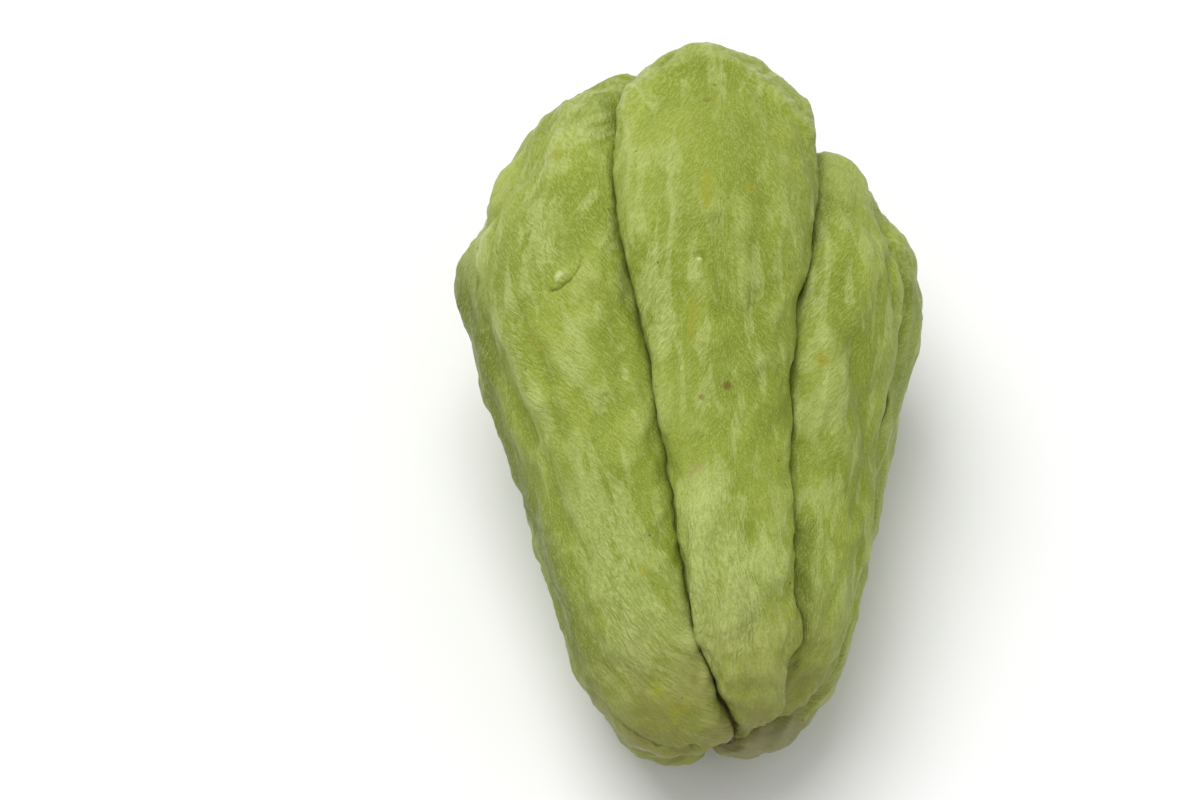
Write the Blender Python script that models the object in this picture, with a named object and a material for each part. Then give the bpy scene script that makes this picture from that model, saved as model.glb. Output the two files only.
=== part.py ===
"""Chayote squash: one solid fruit, lying on its two back lobes.

The fruit is a pear with five plump lobes that run from the stem pit at its narrow end (-Y) to the
blossom pit at its wide end (+Y), with a deep furrow between each lobe and the next. A spot on the
skin is named by two numbers: how far along the fruit it lies, from 0 at the stem pit to 1 at the
blossom pit, and how far across its lobe, from -1 at the left furrow to 1 at the right one.

Angles are in degrees about the fruit's long axis: 0 is the top, 90 is +X, 180 is underneath.
The finished fruit stands on z = 0, with its box centred over the origin.
"""

from math import cos, exp, hypot, pi, radians, sin
from typing import NamedTuple

import bmesh
import bpy
from mathutils import Matrix, Vector, noise

# Driving dimensions, in metres.
LENGTH = 0.140
WIDTH = 0.0905
HEIGHT = 0.076
BEDDING = 0.0008  # how far the back lobes press flat where the fruit lies on them

AXIS_RISE = 10.0  # the wide end lifts the long axis by this angle

# The skin is softly uneven. Its lumps are longer along the fruit than across it.
LUMP = 0.014
LUMP_STRETCH = 1.67
LUMP_HEIGHT = 0.0011
FINE_LUMPS = 2.1  # a second layer of lumps, this many times as fine, and half as high
CALM = 0.018  # the skin is smoother than this close to the axis, where it folds into the pits

ROWS = 62  # rings of points between the two pits

# Where along the fruit the sizes of its lobes and furrows are given.
STATIONS = (0.0, 0.10, 0.22, 0.38, 0.54, 0.68, 0.80, 0.90, 1.0)

# A mean lobe's ridge, from the stem pit to the blossom pit: its place along the axis in half
# lengths, and its distance from the axis in half widths.
RIDGE = (
    (-0.81, 0.00),
    (-0.85, 0.085),
    (-0.91, 0.165),
    (-0.95, 0.27),
    (-0.925, 0.40),
    (-0.84, 0.52),
    (-0.70, 0.62),
    (-0.52, 0.695),
    (-0.28, 0.775),
    (0.00, 0.87),
    (0.22, 0.965),
    (0.42, 1.01),
    (0.62, 0.93),
    (0.80, 0.79),
    (0.91, 0.58),
    (0.955, 0.32),
    (0.93, 0.10),
    (0.87, 0.00),
)
# The axis bends to the right at the stem: its place across the fruit at each station, in half widths.
AXIS_BEND = (0.16, 0.10, 0.075, 0.05, 0.0, 0.0, 0.0, 0.0, 0.0)
# Furrows sink towards this stretch of the axis, in half lengths.
CORE = (-0.60, 0.66)
# A tip or a shoulder that reaches past the mean does so most between the first two of these shares
# of the way along the ridge, counted from its own end, and no more from the third one on.
REACHING = (0.08, 0.10, 0.40)


class Lobe(NamedTuple):
    name: str
    columns: int  # points across it
    crown: tuple  # how far across it the ridge lies, at the stem and at the blossom
    girth: tuple  # how far the ridge stands out at each station, as a share of the mean ridge
    reach: tuple  # how far its stem tip and blossom shoulder run past the mean, in half lengths


class Furrow(NamedTuple):
    name: str
    angle: tuple  # at each station
    depth: tuple  # at each station, as a share of the way in to the core
    fullness: tuple  # how full the lobe to its left and the lobe to its right swell beside it


class Kink(NamedTuple):
    """A short stretch where a furrow turns aside and back."""

    furrow: int
    along: float
    spread: float
    turn: float  # in degrees


class Bump(NamedTuple):
    """A knob on the skin, or a hollow if its height is below 0."""

    name: str
    along: float
    angle: float
    spread: tuple  # along the fruit, and around it in degrees
    height: float


# Lobe n lies between furrow n and furrow n + 1.
LOBES = (
    Lobe("left", 16, (0.0, -0.2),
         (1.0, 0.99, 1.06, 1.10, 1.15, 1.12, 1.06, 1.0, 1.0), (-0.06, 0.10)),
    Lobe("front", 12, (0.55, -0.2),
         (1.0, 1.10, 1.00, 1.00, 1.00, 1.00, 0.95, 0.88, 1.0), (-0.12, 0.12)),
    Lobe("right", 10, (0.0, 0.3),
         (1.0, 1.00, 1.00, 1.00, 1.00, 0.95, 0.91, 0.90, 1.0), (-0.19, -0.10)),
    Lobe("back_right", 15, (0.0, 0.0),
         (1.0, 0.87, 0.98, 0.96, 1.03, 1.05, 1.00, 1.0, 1.0), (-0.12, -0.07)),
    Lobe("back_left", 13, (0.0, 0.0),
         (1.0, 0.98, 1.06, 1.04, 1.02, 1.02, 1.00, 1.0, 1.0), (-0.10, -0.02)),
)
FURROWS = (
    Furrow("back_left_to_left", (-85, -91, -100, -108, -105, -98, -92, -90, -88),
           (0, 0.22, 0.20, 0.20, 0.22, 0.22, 0.22, 0.18, 0), (2.4, 2.5)),
    Furrow("left_to_front", (8, -6, -18, -20.5, -22.5, -31, -44, -56, -58),
           (0, 0.34, 0.30, 0.28, 0.26, 0.26, 0.30, 0.20, 0), (2.2, 2.8)),
    Furrow("front_to_right", (70, 51, 40, 32, 30.5, 37, 52, 60, 60),
           (0, 0.30, 0.28, 0.26, 0.26, 0.26, 0.28, 0.20, 0), (2.8, 2.2)),
    Furrow("right_to_back_right", (110, 95, 84, 76, 75, 69, 66, 66, 66),
           (0, 0.28, 0.12, 0.06, 0.08, 0.16, 0.22, 0.15, 0), (2.2, 2.3)),
    Furrow("back_right_to_back_left", (190, 188, 182, 179, 181, 183, 182, 180, 180),
           (0, 0.32, 0.28, 0.26, 0.24, 0.26, 0.28, 0.20, 0), (2.6, 2.4)),
)
KINKS = (
    Kink(2, 0.225, 0.035, 6),
    Kink(2, 0.15, 0.03, -5),
)
BUMPS = (
    Bump("left_flank_knob", 0.64, -94, (0.045, 16), 0.0045),
    Bump("left_flank_notch", 0.73, -88, (0.03, 12), -0.0012),
    Bump("front_side_bulge", 0.20, 48, (0.03, 10), 0.0010),
    Bump("front_crest", 0.86, -8, (0.07, 14), 0.0025),
)

SKIN_COLOUR = (0.32, 0.39, 0.09, 1.0)
SKIN_ROUGHNESS = 0.5


def ease(share):
    """0 below 0, 1 above 1, and a soft step between."""
    share = min(max(share, 0.0), 1.0)
    return share * share * (3 - 2 * share)


def smooth(values, at, stations=STATIONS):
    """The value at a place between stations, on a smooth curve through all of them."""
    i = max(k for k in range(len(stations) - 1) if at >= stations[k] or k == 0)
    span = stations[i + 1] - stations[i]

    def slope(k):
        before, after = max(k - 1, 0), min(k + 1, len(stations) - 1)
        return (values[after] - values[before]) / (stations[after] - stations[before]) * span

    t = (at - stations[i]) / span
    rise, start, end = values[i + 1] - values[i], slope(i), slope(i + 1)
    return values[i] + t * (start + t * (3 * rise - 2 * start - end + t * (start + end - 2 * rise)))


def shares_of_run(points):
    """How far along a line its points lie, as shares of its whole run."""
    runs = [0.0]
    for (place, radius), (next_place, next_radius) in zip(points, points[1:]):
        step = hypot((next_place - place) * LENGTH, (next_radius - radius) * WIDTH)
        runs.append(runs[-1] + step)
    return [run / runs[-1] for run in runs]


RIDGE_RUN = shares_of_run(RIDGE)


def ridge_of(lobe, along):
    """(place along the axis, distance from it) of a lobe's ridge, in metres."""
    place = smooth([point[0] for point in RIDGE], along, RIDGE_RUN)
    radius = smooth([point[1] for point in RIDGE], along, RIDGE_RUN)
    if along < 0.5:
        end, reach = along, -lobe.reach[0]
    else:
        end, reach = 1 - along, lobe.reach[1]
    full, fading, gone = REACHING
    place += reach * ease(end / full) * ease((gone - end) / (gone - fading))
    return place * LENGTH / 2, radius * smooth(lobe.girth, along) * WIDTH / 2


def furrow_of(n, along):
    """(place along the axis, distance from it) of a furrow: the ridges beside it, drawn inwards."""
    left, right = ridge_of(LOBES[n - 1], along), ridge_of(LOBES[n % len(LOBES)], along)
    place, radius = (left[0] + right[0]) / 2, (left[1] + right[1]) / 2
    core = min(max(place, CORE[0] * LENGTH / 2), CORE[1] * LENGTH / 2)
    depth = smooth(FURROWS[n % len(FURROWS)].depth, along)
    return core + (place - core) * (1 - depth), radius * (1 - depth)


def furrow_angle(n, along):
    """A furrow's angle. The furrow after the last is the first again, a full turn on."""
    turns, n = divmod(n, len(FURROWS))
    kinks = sum(
        kink.turn * exp(-(((along - kink.along) / kink.spread) ** 2))
        for kink in KINKS
        if kink.furrow == n
    )
    return smooth(FURROWS[n].angle, along) + kinks + 360 * turns


def bumps_at(along, angle):
    """How far the knobs raise the skin at a spot, and the hollows lower it."""
    total = 0.0
    for bump in BUMPS:
        off_along = (along - bump.along) / bump.spread[0]
        off_around = ((angle - bump.angle + 180) % 360 - 180) / bump.spread[1]
        total += bump.height * exp(-(off_along**2) - off_around**2)
    return total


def unevenness(spot):
    """How far the skin stands out or sinks in at a spot."""
    lump = Vector((spot.x, spot.y / LUMP_STRETCH, spot.z)) / LUMP
    fine = noise.noise(lump * FINE_LUMPS + Vector((9, 4, 7)))
    return LUMP_HEIGHT * (noise.noise(lump) + fine / 2)


def skin_point(along, n, across):
    """A point on the skin of lobe n, with the fruit's axis along Y and lobe 1 uppermost."""
    lobe, side = LOBES[n], n if across < 0 else n + 1
    left, right = furrow_angle(n, along), furrow_angle(n + 1, along)
    shift = lobe.crown[0] + (lobe.crown[1] - lobe.crown[0]) * ease(along)
    crown = (left + right) / 2 + shift * (right - left) / 2
    edge = left if across < 0 else right
    angle = crown + (edge - crown) * abs(across)

    fullness = FURROWS[side % len(FURROWS)].fullness[0 if across > 0 else 1]
    swell = (1 - abs(across) ** fullness) ** (1 / fullness)
    ridge, furrow = ridge_of(lobe, along), furrow_of(side, along)
    place = furrow[0] + (ridge[0] - furrow[0]) * swell
    radius = furrow[1] + (ridge[1] - furrow[1]) * swell
    radius += bumps_at(along, angle)

    x, z = sin(radians(angle)), cos(radians(angle))
    uneven = unevenness(Vector((radius * x, place, radius * z)))
    radius += uneven * ease(radius / CALM)
    bend = smooth(AXIS_BEND, along) * WIDTH / 2
    return Vector((bend + radius * x, place, radius * z * HEIGHT / WIDTH))


def columns():
    """(lobe, across) of each column of points. They crowd together at the furrows."""
    for n, lobe in enumerate(LOBES):
        for i in range(lobe.columns):
            yield n, sin(pi / 2 * (2 * i / lobe.columns - 1))


def skin():
    """The fruit's closed skin: rings of points between the two pits."""
    made = bmesh.new()
    stem, blossom = (made.verts.new(skin_point(end, 0, 0)) for end in (0.0, 1.0))
    rings = [
        [made.verts.new(skin_point(row / (ROWS + 1), n, across)) for n, across in columns()]
        for row in range(1, ROWS + 1)
    ]
    count = len(rings[0])
    for i in range(count):
        j = (i + 1) % count
        made.faces.new((stem, rings[0][j], rings[0][i]))
        made.faces.new((blossom, rings[-1][i], rings[-1][j]))
        for low, high in zip(rings, rings[1:]):
            made.faces.new((low[i], low[j], high[j], high[i]))
    bmesh.ops.recalc_face_normals(made, faces=made.faces)
    return made


def lay_down(made):
    """Lays the fruit on z = 0 in its driving dimensions, with its underside bedded flat."""
    turn = Matrix.Rotation(radians(AXIS_RISE), 4, "X")
    bmesh.ops.transform(made, matrix=turn, verts=made.verts)
    low, high = (
        Vector([pick(v.co[k] for v in made.verts) for k in range(3)]) for pick in (min, max)
    )
    middle = Vector(((low.x + high.x) / 2, (low.y + high.y) / 2, low.z))
    wanted, size = Vector((WIDTH, LENGTH, HEIGHT + BEDDING)), high - low
    scale = Matrix.Diagonal([wanted[k] / size[k] for k in range(3)] + [1])
    bmesh.ops.transform(made, matrix=scale @ Matrix.Translation(-middle), verts=made.verts)
    for v in made.verts:
        v.co.z = max(v.co.z - BEDDING, 0.0)


def skin_material():
    material = bpy.data.materials.new("chayote_skin")
    material.use_nodes = True
    shader = material.node_tree.nodes["Principled BSDF"]
    shader.inputs["Base Color"].default_value = SKIN_COLOUR
    shader.inputs["Roughness"].default_value = SKIN_ROUGHNESS
    shader.inputs["Metallic"].default_value = 0.0
    return material


def build():
    for obj in list(bpy.data.objects):
        bpy.data.objects.remove(obj)
    made = skin()
    lay_down(made)
    mesh = bpy.data.meshes.new("chayote_squash")
    made.to_mesh(mesh)
    made.free()
    mesh.materials.append(skin_material())
    mesh.shade_smooth()
    bpy.context.scene.collection.objects.link(bpy.data.objects.new("chayote_squash", mesh))


build()
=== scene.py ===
"""The looks of a chayote squash: its furrowed skin and its two dry scars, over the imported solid.

A spot on the skin is named in two ways. One is its place in the fruit's own frame, in metres: -Y
is the narrow stem end, +Y the wide blossom end, and the fruit lies on z = 0. The other is the
lobe chart, a UV map in metres: u runs across each lobe from its ridge, and v along the fruit.
"""

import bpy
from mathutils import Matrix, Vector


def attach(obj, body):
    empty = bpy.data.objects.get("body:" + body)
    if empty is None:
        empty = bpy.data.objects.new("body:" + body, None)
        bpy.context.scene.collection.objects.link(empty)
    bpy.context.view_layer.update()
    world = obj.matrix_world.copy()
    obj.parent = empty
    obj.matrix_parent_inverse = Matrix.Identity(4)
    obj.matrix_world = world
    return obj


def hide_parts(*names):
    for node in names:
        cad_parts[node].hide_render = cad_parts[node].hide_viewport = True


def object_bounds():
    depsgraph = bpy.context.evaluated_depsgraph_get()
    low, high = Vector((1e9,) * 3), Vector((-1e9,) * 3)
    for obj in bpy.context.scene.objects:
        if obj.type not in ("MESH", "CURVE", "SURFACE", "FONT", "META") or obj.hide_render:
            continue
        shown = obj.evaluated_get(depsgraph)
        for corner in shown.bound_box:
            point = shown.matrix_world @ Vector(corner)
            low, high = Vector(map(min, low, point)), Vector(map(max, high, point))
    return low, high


bl_info = {
    "name": "Chayote squash",
    "version": (1, 0, 0),
    "blender": (4, 5, 0),
    "location": "3D View > Sidebar > Chayote",
    "description": "Builds a chayote squash, with its wrinkled skin, in a plain studio",
    "category": "Add Mesh",
}

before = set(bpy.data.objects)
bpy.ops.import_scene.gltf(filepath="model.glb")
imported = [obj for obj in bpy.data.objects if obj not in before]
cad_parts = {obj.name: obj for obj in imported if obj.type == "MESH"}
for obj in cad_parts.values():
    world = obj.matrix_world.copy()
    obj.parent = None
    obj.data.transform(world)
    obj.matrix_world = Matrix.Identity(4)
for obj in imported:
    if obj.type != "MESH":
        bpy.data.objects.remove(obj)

from math import atan2, cos, hypot, pi, radians, sin
from typing import NamedTuple

import bmesh
import bpy
import numpy as np
from bpy.props import FloatProperty, FloatVectorProperty, PointerProperty
from mathutils import Vector
from mathutils.kdtree import KDTree

NODE = "chayote_squash"
CAD_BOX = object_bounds()

LOBES = 5
FOLD = radians(5)  # an edge that folds inwards by more than this belongs to a furrow
PIT = 0.004  # the furrows run together this close to the middle of each pit
PIT_EDGE = (0.0045, 0.0085)  # lumps and marks fade in this far from the middle of the stem pit
SWING_WIDTH = 0.0070  # how far to each side a furrow takes the skin along
FURROW_WIDTH = 0.0030
WAVY = (0.004, 0.012)  # furrows start to wander between these heights above the floor
LOOSE = (0.0002, 0.0035)  # the skin comes loose between these distances from a furrow
LIFTED = (0.001, 0.006)  # and between these heights above the floor
SAME = 1e-6  # points closer than this are one
FAINT = 0.004  # a weight below this leaves a point out
LINE_STEP = 0.0005  # a line laid onto the skin has a point at least this often
FINE_CUTS = 3
CHART = "lobe_chart"

# How long the clouds of each pattern are along X, Y and Z.
WAVES = (0.0040, 0.0045, 0.0040)
LUMPS = (0.0090, 0.0200, 0.0090)
DIMPLES = (0.0035, 0.0080, 0.0035)
HOLLOWS = (0.0050, 0.0120, 0.0050)
PATCHES = (0.0160, 0.0240, 0.0160)
MOTTLE = (0.0045, 0.0065, 0.0045)
STAIN_EDGES = (0.0016, 0.0022, 0.0016)
FIBRES = (0.0004, 0.0020, 0.0006)
SCAR_LUMPS = (0.0009, 0.0024, 0.0012)
# How wide and how long they are on the lobe chart.
HAIRS = (0.00038, 0.0014, 1.0)
FOLDS = (0.0012, 0.0028, 1.0)
PORES = (0.00030, 0.00040, 1.0)
STREAKS = (0.0034, 0.0090, 1.0)
DOT_GAP = 0.006  # from one tiny dot to the next

# Each soft lamp's place, its side, and its share of the key light's power.
LAMPS = (((-0.42, 0.40, 1.88), 1.3, 1.0), ((0.10, -0.80, 0.90), 0.8, 0.03))
SENSOR = 36  # the camera's width in millimetres


class Mark(NamedTuple):
    """A crease, groove or knob that the skin has at one spot only."""

    name: str
    line: tuple  # the points it runs through
    width: float
    height: float  # below 0 for a groove


class StainOrPaintedLight(NamedTuple):
    """A spot or patch where the skin has another colour of its own, or where shade or highlights
    are painted on.
    """

    tint: str
    line: tuple
    width: float
    strength: float


STEM_PIT = Vector((0.0098, -0.0622, 0.0205))
BLOSSOM_PIT = Vector((0.0032, 0.0571, 0.0426))
# Lines that more than one mark, stain or fine patch follows.
CRESCENT = (
    (-0.0203, 0.0115, 0.0680), (-0.0206, 0.0099, 0.0677), (-0.0214, 0.0083, 0.0670),
    (-0.0227, 0.0070, 0.0664), (-0.0243, 0.0062, 0.0655), (-0.0261, 0.0060, 0.0646),
)
SCAR_LIP = ((-0.0238, 0.0087, 0.0665), (-0.0246, 0.0081, 0.0660))
PIMPLE = ((0.0015, 0.0082, 0.0728),)
PIMPLE_PIT = ((0.0005, 0.0092, 0.0731), (0.0018, 0.0098, 0.0731), (0.0026, 0.0086, 0.0731))
SHOULDER_DIMPLE = ((0.0108, 0.0237, 0.0752),)
FRONT_RIDGE = ((0.0081, 0.0386, 0.0742), (0.0090, 0.0307, 0.0752), (0.0108, 0.0225, 0.0752))
FLANK_GROOVE = (
    (-0.0388, 0.0074, 0.0499), (-0.0371, 0.0010, 0.0477), (-0.0327, -0.0065, 0.0486),
    (-0.0283, -0.0156, 0.0471),
)
KNOB_RIB = ((-0.0376, 0.0272, 0.0565), (-0.0396, 0.0197, 0.0538))
KNOB_FOLD = ((-0.0396, 0.0165, 0.0520), (-0.0403, 0.0140, 0.0505))
SIDE_GROOVE = ((0.0303, 0.0014, 0.0585), (0.0341, -0.0129, 0.0464), (0.0320, -0.0270, 0.0444))
# The furrow left of the front lobe swings across at its stem end, and a little back at its other.
STEM_SWING = (
    (-0.0081, -0.0038, 0.0595), (-0.0059, -0.0262, 0.0532), (-0.0020, -0.0490, 0.0440),
    (0.0034, -0.0632, 0.0361), (0.0066, -0.0669, 0.0300),
)
CROWN_SWING = ((-0.0118, 0.0485, 0.0676), (-0.0112, 0.0300, 0.0700), (-0.0102, 0.0118, 0.0695))
END_SWING = ((-0.0135, 0.0590, 0.0569), (-0.0118, 0.0485, 0.0676))

MARKS = (
    Mark("crescent_scar", CRESCENT, 0.0004, -0.0005),
    Mark("scar_lip", SCAR_LIP, 0.0009, 0.0006),
    Mark("pimple", PIMPLE, 0.0007, 0.0006),
    Mark("pimple_pit", PIMPLE_PIT, 0.0005, -0.0005),
    Mark("crown_groove", (
        (0.0050, 0.0160, 0.0748), (0.0056, 0.0060, 0.0724), (0.0062, -0.0010, 0.0695),
    ), 0.0018, -0.0017),
    Mark("crown_rib", (
        (0.0098, 0.0236, 0.0753), (0.0094, 0.0111, 0.0735), (0.0090, 0.0003, 0.0697),
    ), 0.0020, 0.0007),
    Mark("blossom_pucker", ((0.0020, 0.0556, 0.0715), (0.0050, 0.0560, 0.0705)), 0.0017, -0.0011),
    Mark("blossom_crest", (
        (0.0020, 0.0590, 0.0690), (0.0082, 0.0567, 0.0696), (0.0158, 0.0488, 0.0703),
        (0.0215, 0.0440, 0.0665),
    ), 0.0020, 0.0009),
    Mark("shoulder_dimple", SHOULDER_DIMPLE, 0.0030, -0.0007),
    Mark("flank_groove_1", (
        (-0.0318, 0.0039, 0.0592), (-0.0278, -0.0034, 0.0587), (-0.0250, -0.0090, 0.0572),
    ), 0.0022, -0.0012),
    Mark("flank_groove_2", FLANK_GROOVE, 0.0022, -0.0014),
    Mark("flank_groove_3", (
        (-0.0250, -0.0200, 0.0470), (-0.0210, -0.0340, 0.0450),
    ), 0.0022, -0.0010),
    Mark("flank_rib_1", (
        (-0.0340, 0.0029, 0.0547), (-0.0311, -0.0044, 0.0539), (-0.0270, -0.0110, 0.0530),
    ), 0.0020, 0.0010),
    Mark("flank_rib_2", ((-0.0207, -0.0003, 0.0641), (-0.0178, -0.0109, 0.0601)), 0.0024, 0.0007),
    Mark("right_rib", ((0.0275, 0.0061, 0.0615), (0.0270, -0.0100, 0.0560)), 0.0024, 0.0007),
    Mark("knob_shoulder", ((-0.0350, 0.0400, 0.0520), (-0.0368, 0.0345, 0.0530)), 0.0040, 0.0019),
    Mark("knob", ((-0.0400, 0.0240, 0.0500), (-0.0420, 0.0190, 0.0460)), 0.0045, 0.0013),
    Mark("knob_notch", ((-0.0379, 0.0300, 0.0545), (-0.0385, 0.0305, 0.0480)), 0.0030, -0.0008),
    Mark("knob_rib", KNOB_RIB, 0.0014, 0.0008),
    Mark("knob_fold", KNOB_FOLD, 0.0009, -0.0004),
    Mark("tip_rib_1", ((0.0029, -0.0377, 0.0544), (0.0029, -0.0563, 0.0431)), 0.0017, 0.0007),
    Mark("tip_rib_2", ((0.0087, -0.0428, 0.0523), (0.0087, -0.0513, 0.0488)), 0.0020, 0.0006),
    Mark("tip_groove", ((0.0058, -0.0390, 0.0540), (0.0060, -0.0520, 0.0475)), 0.0017, -0.0008),
    Mark("tip_swell", ((0.0141, -0.0457, 0.0502), (0.0146, -0.0523, 0.0470)), 0.0050, 0.0009),
    Mark("under_fold", (
        (-0.0160, -0.0593, 0.0291), (-0.0086, -0.0669, 0.0296), (0.0004, -0.0698, 0.0281),
        (0.0030, -0.0692, 0.0284),
    ), 0.0016, -0.0013),
    Mark("tip_cheek", ((0.0174, -0.0617, 0.0398), (0.0173, -0.0640, 0.0375)), 0.0030, 0.0013),
    Mark("tip_end", (
        (0.0175, -0.0650, 0.0270), (0.0144, -0.0640, 0.0230), (0.0110, -0.0650, 0.0240),
    ), 0.0038, -0.0016),
    Mark("crown_peak", ((0.0037, 0.0623, 0.0670), (0.0006, 0.0595, 0.0693)), 0.0045, 0.0008),
    Mark("crown_shoulder", ((0.0150, 0.0568, 0.0670),), 0.0055, -0.0010),
    Mark("side_shoulder", ((0.0305, 0.0401, 0.0561), (0.0290, 0.0426, 0.0557)), 0.0045, 0.0022),
    Mark("rear_shoulder", ((0.0411, 0.0313, 0.0451), (0.0400, 0.0340, 0.0450)), 0.0040, 0.0012),
    Mark("side_fold", (
        (0.0378, 0.0310, 0.0500), (0.0377, 0.0220, 0.0555), (0.0378, 0.0165, 0.0550),
        (0.0389, 0.0133, 0.0514),
    ), 0.0011, -0.0010),
    Mark("side_groove", SIDE_GROOVE, 0.0022, -0.0010),
)
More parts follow.
